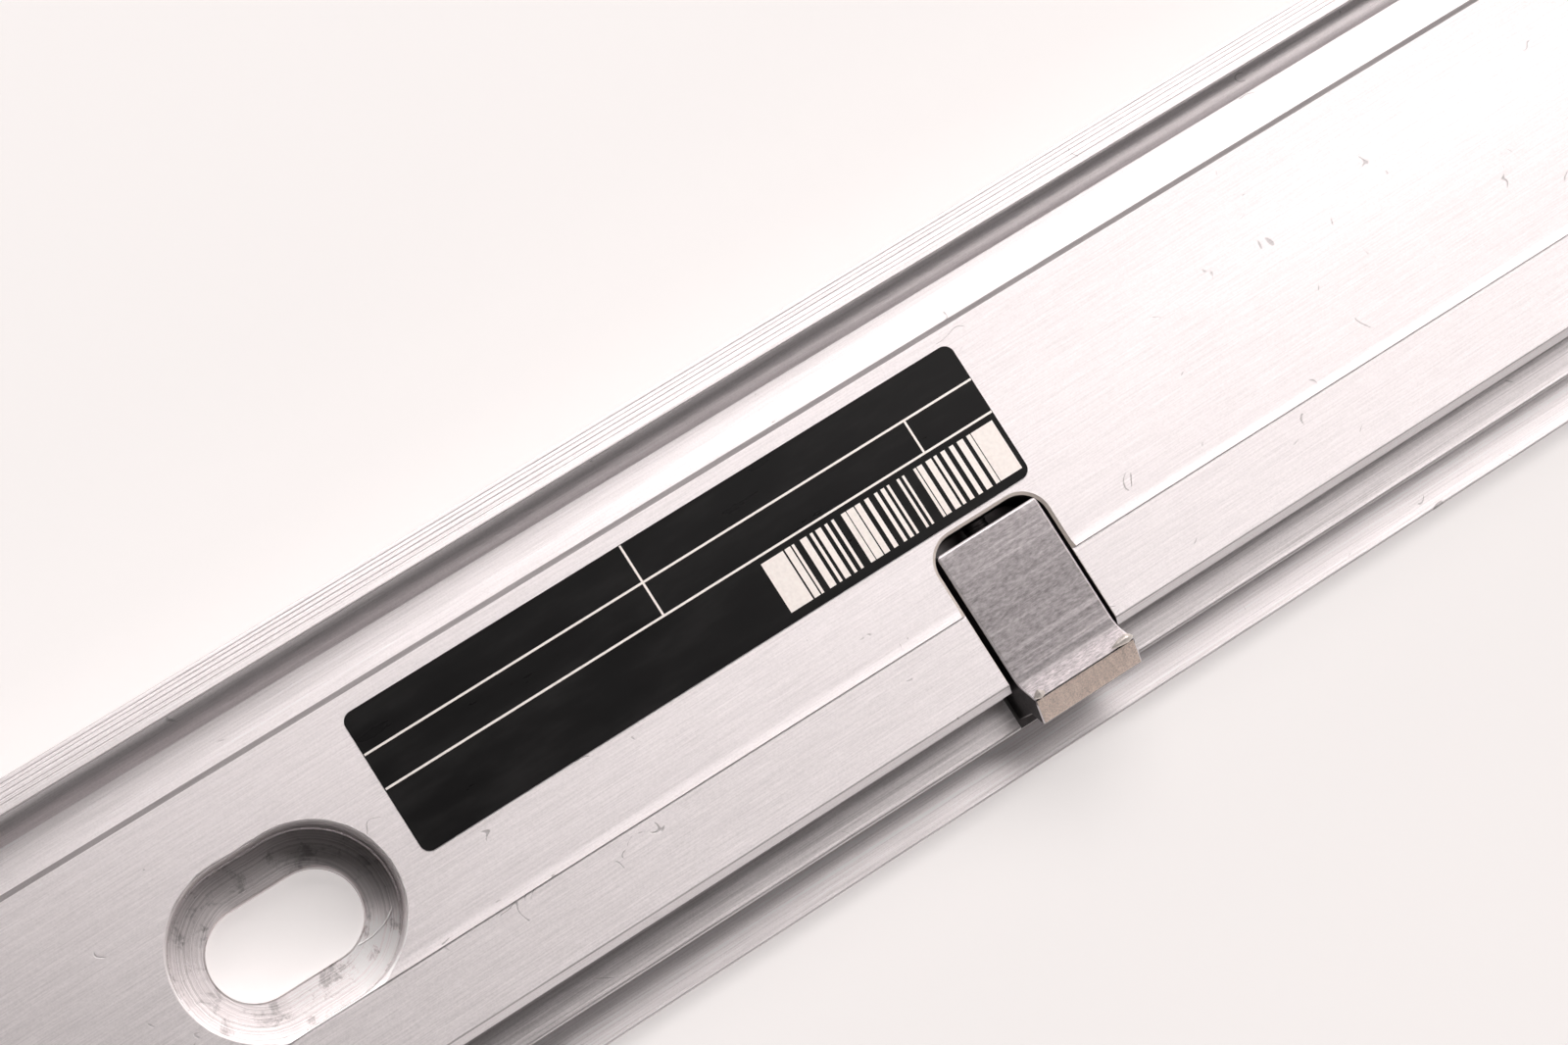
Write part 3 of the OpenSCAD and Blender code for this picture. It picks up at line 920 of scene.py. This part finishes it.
def claw_lines(look, low, high):
    """The claw seen from the side, as (Y, Z); also its crest, the way its inner face looks, and its front."""
    top_z = BED_Z - 0.05 * MM
    in_y, bottom_z = high.y, low.z
    bend_y = in_y - 10.3 * MM
    bend_r, thick = 1.5 * MM, 2.4 * MM
    across = Vector((-math.sin(BEND), -math.cos(BEND)))
    centre = Vector((bend_y, top_z + bend_r))
    bend_end = centre + across * bend_r
    straight = (high.z - top_z - bend_r * (1 - math.cos(BEND))) / math.sin(BEND)
    crest = bend_end + straight * Vector((-math.cos(BEND), math.sin(BEND)))
    tip = crest + thick * across
    under = bend_end + thick * across
    points = []

    def line(start, end, pieces, radius):
        for i in range(pieces):
            spot = Vector(start).lerp(Vector(end), i / pieces)
            points.append((*spot, radius if i == 0 else 0))

    line((in_y, bottom_z), (in_y, top_z), 6, look.edge_round)
    line((in_y, top_z), (bend_y, top_z), 14, look.edge_round)
    points.extend((*p, 0) for p in arc(centre, bend_r, 270, 270 - math.degrees(BEND), 14)[:-1])
    line(bend_end, crest, 4, 0)
    line(crest, tip, 5, look.edge_round * 0.55)
    line(tip, under, 4, look.edge_round)
    line(under, (under.x, bottom_z), 6, 0)
    line((under.x, bottom_z), (in_y, bottom_z), 10, look.edge_round)
    return rounded(points), crest, -across, under.x


def claw_mesh(look, name):
    """A claw as a fine solid with rounded sides and back corners."""
    low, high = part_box(name)
    outline = claw_lines(look, low, high)[0]
    half, middle_x = (high.x - low.x) / 2, (high.x + low.x) / 2
    side = look.edge_round * 0.8
    stations = [(side * (1 - math.cos(math.radians(t))), side * (1 - math.sin(math.radians(t))))
                for t in (0, 22.5, 45, 67.5, 90)]
    stations += [(d * MM, 0.0) for d in (0.23, 0.3, 0.38, 0.46, 0.7, 1.2, 2.0, 3.2)]
    stations += [(2 * half - d, shrink) for d, shrink in reversed(stations)]
    rings = []
    for dist, shrink in stations:
        into = max(0.0, look.corner - min(dist, 2 * half - dist))
        cut_back = look.corner - math.sqrt(max(0.0, look.corner ** 2 - into ** 2))
        rings.append([(middle_x - half + dist, min(y, high.y - cut_back), z)
                      for y, z in inset(outline, shrink)])
    return loft("claw_shape", rings)


def bead_meshes(look, name):
    """The two beads that bending squeezes out at the crest's ends, one short and one longer."""
    low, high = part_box(name)
    crest, lift = claw_lines(look, low, high)[1:3]
    seat = crest + lift * 0.26 * MM
    made = []
    for start, end, shape in ((low.x + 0.02 * MM, low.x + 0.95 * MM, 0.5),
                              (high.x - 0.04 * MM, high.x - 1.9 * MM, 0.28)):
        rings = []
        for i in range(15):
            along = i / 14
            bulge = (along / shape if along < shape else (1 - along) / (1 - shape)) ** 0.55
            radius = max(0.02 * MM, look.bead * bulge)
            x = start + (end - start) * along
            rings.append([(x, seat.x + lift.x * radius * 0.35 + radius * math.cos(2 * math.pi * k / 20),
                           seat.y + lift.y * radius * 0.35 + radius * math.sin(2 * math.pi * k / 20))
                          for k in range(20)])
        made.append(loft("bead", rings))
    return made


def bore_cutter(look, low, high):
    """The stepped bore for the claw's screw and spring."""
    front = claw_lines(look, low, high)[3]
    seat_y = high.y - 2.5 * MM
    spring_r, shank_r = 1.7 * MM, 1.06 * MM
    return rod("bore", [(front - 1.2 * MM, spring_r + 1.2 * MM), (front + 0.2 * MM, spring_r),
                        (seat_y, spring_r), (seat_y + 0.01 * MM, shank_r), (high.y + 1 * MM, shank_r)],
               (low.x + high.x) / 2, screw_axis(), 40)


class RAILKIT_OT_make_claws(MakePiece, bpy.types.Operator):
    """Make the bent steel claws, each on its own sliding body"""
    bl_idname = "railkit.make_claws"
    bl_label = "Make claws"

    def execute(self, context):
        look = context.scene.railkit_claw
        first = CLAWS[0]
        pattern = new_object("claw_pattern", claw_mesh(look, first), claw_metal(look), sheared_metal(look))
        end_way = Vector((0, -math.cos(BEND), math.sin(BEND)))
        for face in pattern.data.polygons:
            if face.normal.dot(end_way) > 0.94:
                face.material_index = 1
        cut(pattern, bore_cutter(look, *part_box(first)), [pattern.data.materials[0]])
        cut(pattern, joined("beads", bead_meshes(look, first)), [bead_metal(look)], "UNION")
        smooth(pattern, 40)
        start = middle(first).x
        for name, x in zip(CLAWS, CLAW_X):
            mesh = pattern.data.copy()
            mesh.transform(Matrix.Translation((x - start, 0, 0)))
            claw = new_object("dressed_" + name, mesh)
            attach(claw, frame_body(name))
            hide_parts(name)
        drop(pattern)
        return {"FINISHED"}


def frame_body(node):
    """The body that a CAD node moves with."""
    return next(body for body, nodes in RECORD["behaviour"]["bodies"].items() if node in nodes)


# ---------------------------------------------------------------- geometry nodes

def geometry_tree(name, inputs):
    """Makes a function that gives the geometry to put out into one that gives its node tree."""
    def wrap(fill):
        def build():
            tree = bpy.data.node_groups.new(name, "GeometryNodeTree")
            tree.interface.new_socket("Geometry", in_out="INPUT", socket_type="NodeSocketGeometry")
            for label, kind in {**inputs, "Material": "Material"}.items():
                tree.interface.new_socket(label, in_out="INPUT", socket_type="NodeSocket" + kind)
            tree.interface.new_socket("Geometry", in_out="OUTPUT", socket_type="NodeSocketGeometry")
            source = tree.nodes.new("NodeGroupInput")
            target = tree.nodes.new("NodeGroupOutput")
            n = Nodes(tree)
            solid = n.put("GeometryNodeRealizeInstances", None, {0: fill(n, source.outputs)})[0]
            coated = n.put("GeometryNodeSetMaterial", None,
                           {"Geometry": solid, "Material": source.outputs["Material"]})[0]
            tree.links.new(coated, target.inputs[0])
            return tree
        return build
    return wrap


def grow(name, tree, values, base=None):
    """Runs the tree on a new object and keeps its result as a plain mesh."""
    made = new_object(name, base or bpy.data.meshes.new(name))
    modifier = made.modifiers.new("build", "NODES")
    modifier.node_group = tree
    sockets = {item.name: item.identifier for item in tree.interface.items_tree
               if item.in_out == "INPUT"}
    for label, value in values.items():
        modifier[sockets[label]] = value
    return bake(made)


def whole_number(n, value, factor):
    product = n.times(value, float(factor))
    return n.put("FunctionNodeFloatToInt", {"rounding_mode": "ROUND"}, {0: product})[0]


@geometry_tree("wound_spring", {"X": "Float", "Z": "Float", "Start": "Float", "Length": "Float",
                                "Outside": "Float", "Wire": "Float", "Turns": "Int"})
def spring_tree(n, given):
    """A round wire wound along Y, with closed ends."""
    per_turn, sides = 28, 10
    wire, all_turns = given["Wire"], given["Turns"]
    line = n.put("GeometryNodeCurvePrimitiveLine", {"mode": "POINTS"},
                 {"Start": (0.0, 0.0, 0.0), "End": (0.0, 1.0, 0.0)})[0]
    line = n.put("GeometryNodeResampleCurve", None,
                 {"Curve": line, "Count": whole_number(n, all_turns, per_turn)})[0]
    turns = n.times(n.put("GeometryNodeSplineParameter")["Factor"], all_turns)
    angle = n.times(turns, 2 * math.pi)
    # The wire lies against itself for the first and last turn, and is open between them.
    dead = n.times(wire, 1.04)
    first = n.times(n.least(turns, 1.0), dead)
    last = n.times(n.most(n.less(turns, n.less(all_turns, 1.0)), 0.0), dead)
    open_turns = n.less(all_turns, 2.0)
    passed = n.least(n.most(n.less(turns, 1.0), 0.0), open_turns)
    room = n.less(given["Length"], n.add(n.times(dead, 2.0), wire))
    opened = n.times(n.maths("DIVIDE", passed, open_turns), room)
    y = n.add(n.add(given["Start"], n.times(wire, 0.5)), n.add(first, last, opened))
    radius = n.times(n.less(given["Outside"], wire), 0.5)
    x = n.add(given["X"], n.times(radius, n.maths("COSINE", angle)))
    z = n.add(given["Z"], n.times(radius, n.maths("SINE", angle)))
    helix = n.put("GeometryNodeSetPosition", None, {"Geometry": line, "Position": n.xyz(x, y, z)})[0]
    ring = n.put("GeometryNodeCurvePrimitiveCircle", None,
                 {"Resolution": sides, "Radius": n.times(wire, 0.5)})[0]
    wound = n.put("GeometryNodeCurveToMesh", None,
                  {"Curve": helix, "Profile Curve": ring, "Fill Caps": True})[0]
    return n.put("GeometryNodeSetShadeSmooth", None, {0: wound})[0]


@geometry_tree("copies_at_points", {"Shape": "Object"})
def copies_tree(n, given):
    """Copies of one shape, each at a point."""
    shape = n.put("GeometryNodeObjectInfo", {"transform_space": "ORIGINAL"},
                  {"Object": given["Shape"]})["Geometry"]
    return n.put("GeometryNodeInstanceOnPoints", None,
                 {"Points": given["Geometry"], "Instance": shape})[0]


@geometry_tree("bar_field", {"Length": "Float", "Height": "Float", "Ink": "Float", "Block": "Float",
                             "Bars": "Int", "Seed": "Int"})
def bars_tree(n, given):
    """A field of plain bars of seeded widths between two wide blocks."""
    def chance(low, high, seed):
        return n.put("FunctionNodeRandomValue", {"data_type": "FLOAT"}, {2: low, 3: high, "Seed": seed})[1]

    height, ink = given["Height"], given["Ink"]
    step = n.maths("DIVIDE", given["Length"], given["Bars"])
    points = n.put("GeometryNodeMeshLine", {"mode": "OFFSET"}, {
        "Count": given["Bars"], "Start Location": n.xyz(n.times(step, 0.5)), "Offset": n.xyz(step)})[0]
    bar = n.put("GeometryNodeMeshCube", None, {"Size": (1.0, 1.0, 1.0)})[0]
    wide = chance(0.22, 0.92, given["Seed"])
    room = n.times(n.less(0.96, wide), step)
    shift = n.xyz(n.times(chance(-0.5, 0.5, whole_number(n, given["Seed"], 3)), room))
    points = n.put("GeometryNodeSetPosition", None, {"Geometry": points, "Offset": shift})[0]
    whole = n.tree.nodes.new("GeometryNodeJoinGeometry")
    pieces = [n.put("GeometryNodeInstanceOnPoints", None, {
        "Points": points, "Instance": bar, "Scale": n.xyz(n.times(wide, step), height, ink)})[0]]
    block = n.put("GeometryNodeMeshCube", None, {"Size": n.xyz(given["Block"], height, ink)})[0]
    half = n.times(given["Block"], 0.5)
    for x in (n.times(half, -1.0), n.add(given["Length"], half)):
        pieces.append(n.put("GeometryNodeTransform", None, {"Geometry": block, "Translation": n.xyz(x)})[0])
    for piece in pieces:
        n.tree.links.new(piece, whole.inputs[0])
    return whole.outputs[0]


# ---------------------------------------------------------------- screws and springs

def screw_mesh(look, outer_y, tip_y):
    """One claw screw along Y at X = 0: a head with a hexagon socket, a plain shank and a thread."""
    head_r, shank_r = look.head / 2, look.shank / 2
    under_y = outer_y + look.head_height
    chamfer, socket_depth = 0.15 * MM, 0.9 * MM
    steps = 36
    hex_r = look.socket / 2 / math.cos(math.radians(30))

    def ring(radius, y, sides=0):
        points = []
        for i in range(steps):
            angle = 2 * math.pi * i / steps
            r = radius
            if sides:
                sector = math.pi / sides
                r = radius * math.cos(sector) / math.cos((angle % (2 * sector)) - sector)
            points.append((r * math.cos(angle), y, r * math.sin(angle)))
        return points

    levels = [ring(hex_r * 0.98, outer_y + socket_depth, 6), ring(hex_r, outer_y + 0.05 * MM, 6),
              ring(hex_r * 1.05, outer_y), ring(head_r - chamfer, outer_y),
              ring(head_r, outer_y + chamfer),
              ring(head_r, under_y - chamfer * 0.5), ring(head_r - chamfer * 0.5, under_y),
              ring(shank_r, under_y)]
    thread_from, thread_to = -3.4 * MM, 0.4 * MM
    pitch, groove = look.thread_pitch, 0.13 * MM
    levels.append(ring(shank_r, thread_from))
    rows = int((thread_to - thread_from) / pitch * 8)
    for row in range(1, rows):
        y = thread_from + (thread_to - thread_from) * row / rows
        fade = min(1.0, 3.0 * row / rows, 3.0 * (rows - row) / rows)
        points = []
        for i in range(steps):
            angle = 2 * math.pi * i / steps
            phase = ((y - thread_from) / pitch - i / steps) % 1.0
            r = shank_r - groove * fade * (1 - abs(2 * phase - 1))
            points.append((r * math.cos(angle), y, r * math.sin(angle)))
        levels.append(points)
    levels += [ring(shank_r, thread_to), ring(shank_r, tip_y - 0.25 * MM), ring(shank_r * 0.78, tip_y)]
    return loft("claw_screw", levels)


class RAILKIT_OT_make_screws(MakePiece, bpy.types.Operator):
    """Make the claw screws in the end walls of the pockets"""
    bl_idname = "railkit.make_screws"
    bl_label = "Make claw screws"

    def execute(self, context):
        look = context.scene.railkit_fastener
        low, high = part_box("claw_screws")
        shape = new_object("screw_shape", screw_mesh(look, low.y, high.y))
        shape.data.shade_smooth()
        shape.data.set_sharp_from_angle(angle=math.radians(38))
        points = mesh_from("screw_places", [(x, 0.0, screw_axis()) for x in CLAW_X], [], False)
        screws = grow("dressed_claw_screws", copies_tree(),
                      {"Shape": shape, "Material": screw_metal(look)}, points)
        drop(shape)
        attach(screws, RAIL_BODY)
        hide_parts("claw_screws")
        return {"FINISHED"}


class RAILKIT_OT_make_springs(MakePiece, bpy.types.Operator):
    """Make the claw springs"""
    bl_idname = "railkit.make_springs"
    bl_label = "Make claw springs"

    def execute(self, context):
        look = context.scene.railkit_fastener
        tree = spring_tree()
        for name, x in zip(CLAWS, CLAW_X):
            number = name[5:]
            node = "spring_" + number
            low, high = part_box(node)
            spring = grow("dressed_" + node, tree, {
                "X": x, "Z": screw_axis(), "Start": low.y, "Length": high.y - low.y,
                "Outside": high.x - low.x, "Wire": look.wire, "Turns": look.turns + 2,
                "Material": spring_metal(look)})
            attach(spring, RAIL_BODY)
            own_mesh(spring)
            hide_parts(node)
        return {"FINISHED"}


# ---------------------------------------------------------------- nameplate

def plate_size(look):
    """Length and height of the film before its small turn."""
    box = PLATE_HIGH - PLATE_LOW
    turn = abs(look.turn)
    spread = (math.cos(turn) + math.sin(turn) - 1) * 2 * look.corner
    wide, high = box.x + spread, box.y + spread
    bottom = math.cos(turn) ** 2 - math.sin(turn) ** 2
    return ((wide * math.cos(turn) - high * math.sin(turn)) / bottom,
            (high * math.cos(turn) - wide * math.sin(turn)) / bottom)


def place_on_bed(look, mesh):
    """Turns a flat shape made around the origin and lays it where the film is."""
    centre = middle("nameplate")
    mesh.transform(Matrix.Translation((centre.x, centre.y, 0)) @ Matrix.Rotation(look.turn, 4, "Z"))


class RAILKIT_OT_make_nameplate(MakePiece, bpy.types.Operator):
    """Make the black film with its plain printed rules and bars"""
    bl_idname = "railkit.make_nameplate"
    bl_label = "Make nameplate"

    def execute(self, context):
        look = context.scene.railkit_plate
        long, high = plate_size(look)
        thick = PLATE_HIGH.z - PLATE_LOW.z
        ink = 0.008 * MM

        def ring(shrink, z):
            r = look.corner - shrink
            a, b = long / 2 - look.corner, high / 2 - look.corner
            corners = (((a, -b), -90), ((a, b), 0), ((-a, b), 90), ((-a, -b), 180))
            return [(x, y, z) for corner, start in corners for x, y in arc(corner, r, start, start + 90, 10)]

        edge = 0.04 * MM
        film = new_object("nameplate_film", loft("film", [
            ring(0, BED_Z), ring(0, BED_Z + thick - edge), ring(edge * 0.4, BED_Z + thick - edge * 0.4),
            ring(edge, BED_Z + thick)]), film_plastic(look))
        place_on_bed(look, film.data)
        smooth(film, 50)
        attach(film, RAIL_BODY)
        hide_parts("nameplate")

        top = BED_Z + thick
        left, upper = -long / 2, high / 2
        row_1, row_2 = upper - 0.279 * high, upper - 0.527 * high
        split_1, split_2 = left + 0.448 * long, left + 0.884 * long
        half = look.rule / 2
        margin = edge * 1.5
        rules = [
            (left + margin, row_1 - half, -left - margin, row_1 + half),
            (left + margin, row_2 - half, -left - margin, row_2 + half),
            (split_1 - half, row_1 + half, split_1 + half, upper - margin),
            (split_1 - half, row_2 + half, split_1 + half, row_1 - half),
            (split_2 - half, row_2 + half, split_2 + half, row_1 - half),
        ]
        meshes = [loft("rule", [[(x1, y1, z), (x2, y1, z), (x2, y2, z), (x1, y2, z)]
                                for z in (top - 2 * ink, top + ink)]) for x1, y1, x2, y2 in rules]
        lines = new_object("nameplate_rules", joined("rules", meshes), print_ink(look))
        place_on_bed(look, lines.data)
        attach(lines, RAIL_BODY)

        bars = grow("nameplate_bars", bars_tree(), {
            "Length": 0.318 * long, "Height": 0.363 * high, "Ink": 3 * ink, "Block": 0.0365 * long,
            "Bars": look.bars, "Seed": look.seed, "Material": print_ink(look)})
        bars.data.transform(Matrix.Translation((left + 0.6375 * long, upper - 0.7575 * high,
                                                top - 0.5 * ink)))
        place_on_bed(look, bars.data)
        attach(bars, RAIL_BODY)
        return {"FINISHED"}


# ---------------------------------------------------------------- stage

# Each lamp's name, size, place from its aim, and the bearing of its long side in degrees.
LAMPS = (("key", (2.25, 1.2), (0.675, 0.825, 1.65), -38), ("fill", (1.4, 0.6), (-0.3, -1.5, 0.6), 0),
         ("glint", (0.25, 0.25), (-0.7, -0.7, 0.95), 0), ("low", (4.8, 1.0), (2.0, 2.8, 1.0), -36))


def area_lamp(name, power, size, offset, aim, turn):
    """A soft rectangular lamp that points at its aim."""
    data = bpy.data.lights.new(name, "AREA")
    data.shape = "RECTANGLE"
    data.size, data.size_y = size
    data.energy = power
    data.color = WARM
    lamp = new_object(name, data)
    back = offset.normalized()
    level = Vector((math.cos(turn), math.sin(turn), 0.0))
    side = (level - back * level.dot(back)).normalized()
    axes = Matrix((side, back.cross(side), back)).transposed().to_4x4()
    lamp.matrix_world = Matrix.Translation(aim + offset) @ axes


class RAILKIT_OT_make_stage(MakePiece, bpy.types.Operator):
    """Make the table, the lamps, the even light and the camera"""
    bl_idname = "railkit.make_stage"
    bl_label = "Make stage"

    def execute(self, context):
        scene = context.scene
        look = scene.railkit_stage
        half = look.floor_size / 2
        floor = new_object("table", mesh_from("table", [
            (-half, -half, 0), (half, -half, 0), (half, half, 0), (-half, half, 0)], [(0, 1, 2, 3)], False),
            table_top(look))

        world = bpy.data.worlds.new("even_light")
        world.use_nodes = True
        back = world.node_tree.nodes["Background"]
        back.inputs["Color"].default_value = (*WARM, 1.0)
        n = Nodes(world.node_tree)
        way = n.parts(n.put("ShaderNodeTexCoord")["Generated"])
        level = n.times(n.span(way[2], 0.02, 0.34, look.horizon, look.world),
                        n.span(way[0], -0.7, 0.0, 0.3, 1.0))
        n.tree.links.new(level, back.inputs["Strength"])
        scene.world = world

        aim = Vector((RAIL_LOW.x + 70 * MM, 0, 0))
        for name, size, offset, bearing in LAMPS:
            area_lamp(name + "_lamp", getattr(look, name), size, Vector(offset), aim, math.radians(bearing))

        data = bpy.data.cameras.new("camera")
        data.sensor_fit = "HORIZONTAL"
        data.sensor_width = 36.0
        data.lens = look.lens
        data.clip_start = 0.005
        data.clip_end = 50.0
        camera = new_object("camera", data)
        right = Vector((0.83100, -0.53417, 0.15528))
        up = Vector((0.51307, 0.84385, 0.15710))
        ahead = Vector((0.21495, 0.05088, -0.97530))
        place = Matrix((right, up, -ahead)).transposed().to_4x4()
        first_slot = slot_places()[0]
        place.translation = Vector((first_slot - 8.34 * MM, -6.72 * MM, 253.43 * MM))
        camera.matrix_world = place
        scene.camera = camera
        scene.view_settings.view_transform = "Standard"
        return {"FINISHED"}


class RAILKIT_PT_panel(bpy.types.Panel):
    bl_label = "Mounting rail"
    bl_idname = "RAILKIT_PT_panel"
    bl_space_type = "VIEW_3D"
    bl_region_type = "UI"
    bl_category = "Mounting rail"

    def draw(self, context):
        scene = context.scene
        for group, operator in ((scene.railkit_rail, RAILKIT_OT_make_rail),
                                (scene.railkit_claw, RAILKIT_OT_make_claws),
                                (scene.railkit_fastener, RAILKIT_OT_make_screws),
                                (None, RAILKIT_OT_make_springs),
                                (scene.railkit_plate, RAILKIT_OT_make_nameplate),
                                (scene.railkit_stage, RAILKIT_OT_make_stage)):
            box = self.layout.box()
            if group:
                for name in group.__annotations__:
                    box.prop(group, name)
            box.operator(operator.bl_idname)


CLASSES = (RailLook, ClawLook, FastenerLook, PlateLook, StageLook, RAILKIT_OT_make_rail, RAILKIT_OT_make_claws,
           RAILKIT_OT_make_screws, RAILKIT_OT_make_springs, RAILKIT_OT_make_nameplate, RAILKIT_OT_make_stage,
           RAILKIT_PT_panel)
GROUPS = {"railkit_rail": RailLook, "railkit_claw": ClawLook, "railkit_fastener": FastenerLook,
          "railkit_plate": PlateLook, "railkit_stage": StageLook}


def register():
    for item in CLASSES:
        bpy.utils.register_class(item)
    for name, group in GROUPS.items():
        setattr(bpy.types.Scene, name, PointerProperty(type=group))


def unregister():
    for name in GROUPS:
        delattr(bpy.types.Scene, name)
    for item in reversed(CLASSES):
        bpy.utils.unregister_class(item)


def main():
    register()
    bpy.ops.railkit.make_stage()
    bpy.ops.railkit.make_rail()
    bpy.ops.railkit.make_claws()
    bpy.ops.railkit.make_screws()
    bpy.ops.railkit.make_springs()
    bpy.ops.railkit.make_nameplate()


if __name__ == "__main__":
    main()
